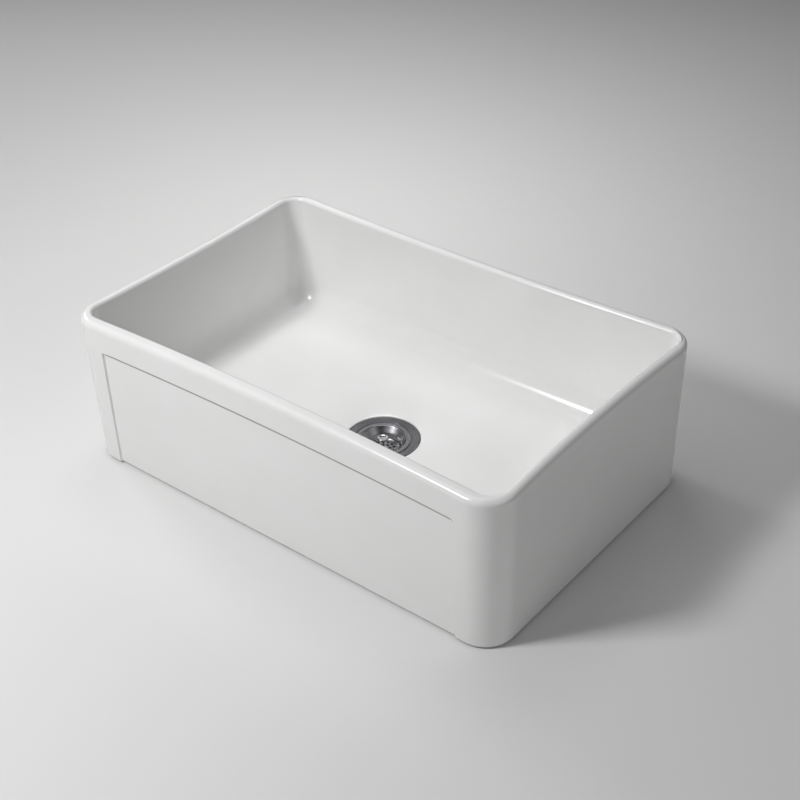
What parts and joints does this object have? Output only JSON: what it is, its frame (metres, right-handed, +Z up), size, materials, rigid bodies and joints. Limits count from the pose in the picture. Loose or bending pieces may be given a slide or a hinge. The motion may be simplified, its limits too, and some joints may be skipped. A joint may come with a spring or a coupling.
{
  "type": "farmhouse apron front kitchen sink",
  "caption": "White fireclay kitchen sink with a framed apron front, one deep bowl and a stainless strainer waste whose basket lifts out.",
  "frame": {"origin": "centre of the base, on the surface that the sink stands on", "axes": "+X along the apron to the right seen from the front, +Y from the apron to the back, +Z up"},
  "size_m": [0.7616, 0.4896, 0.245],
  "materials": {
    "fireclay": "white gloss glaze fired on fireclay",
    "body_steel": "pressed stainless steel with a radial brushed flange",
    "basket_steel": "pressed stainless steel, brushed rim and satin bowl",
    "post_steel": "turned and polished stainless steel",
    "bar_steel": "stamped stainless steel",
    "fixing_steel": "turned stainless steel",
    "flange_rubber": "soft grey sealing ring",
    "gasket_rubber": "moulded black rubber",
    "stopper_rubber": "moulded black rubber",
    "slip_card": "pressed fibre card",
    "nut_plastic": "moulded black glass-filled nylon",
    "bush_plastic": "moulded white acetal",
    "clip_plastic": "moulded black acetal"
  },
  "bodies": {
    "basin": {"sink_basin": "fireclay", "strainer_body": "body_steel", "flange_seal": "flange_rubber", "under_gasket": "gasket_rubber", "slip_ring": "slip_card", "lock_nut": "nut_plastic", "outlet_crossbar": "bar_steel"},
    "basket": {"basket_cup": "basket_steel", "guide_bush": "bush_plastic"},
    "stopper": {"lift_post": "post_steel", "lift_knob": "post_steel", "stopper_plate": "fixing_steel", "stopper_seal": "stopper_rubber", "stopper_nut": "fixing_steel", "post_clip": "clip_plastic"}
  },
  "joints": [
    {"name": "basket_lift", "type": "slide", "parent": "basin", "child": "basket", "axis": [0, 0, 1], "range_m": [0, 0.253]},
    {"name": "stopper_lift", "type": "slide", "parent": "basket", "child": "stopper", "axis": [0, 0, 1], "range_m": [0, 0.006]}
  ]
}
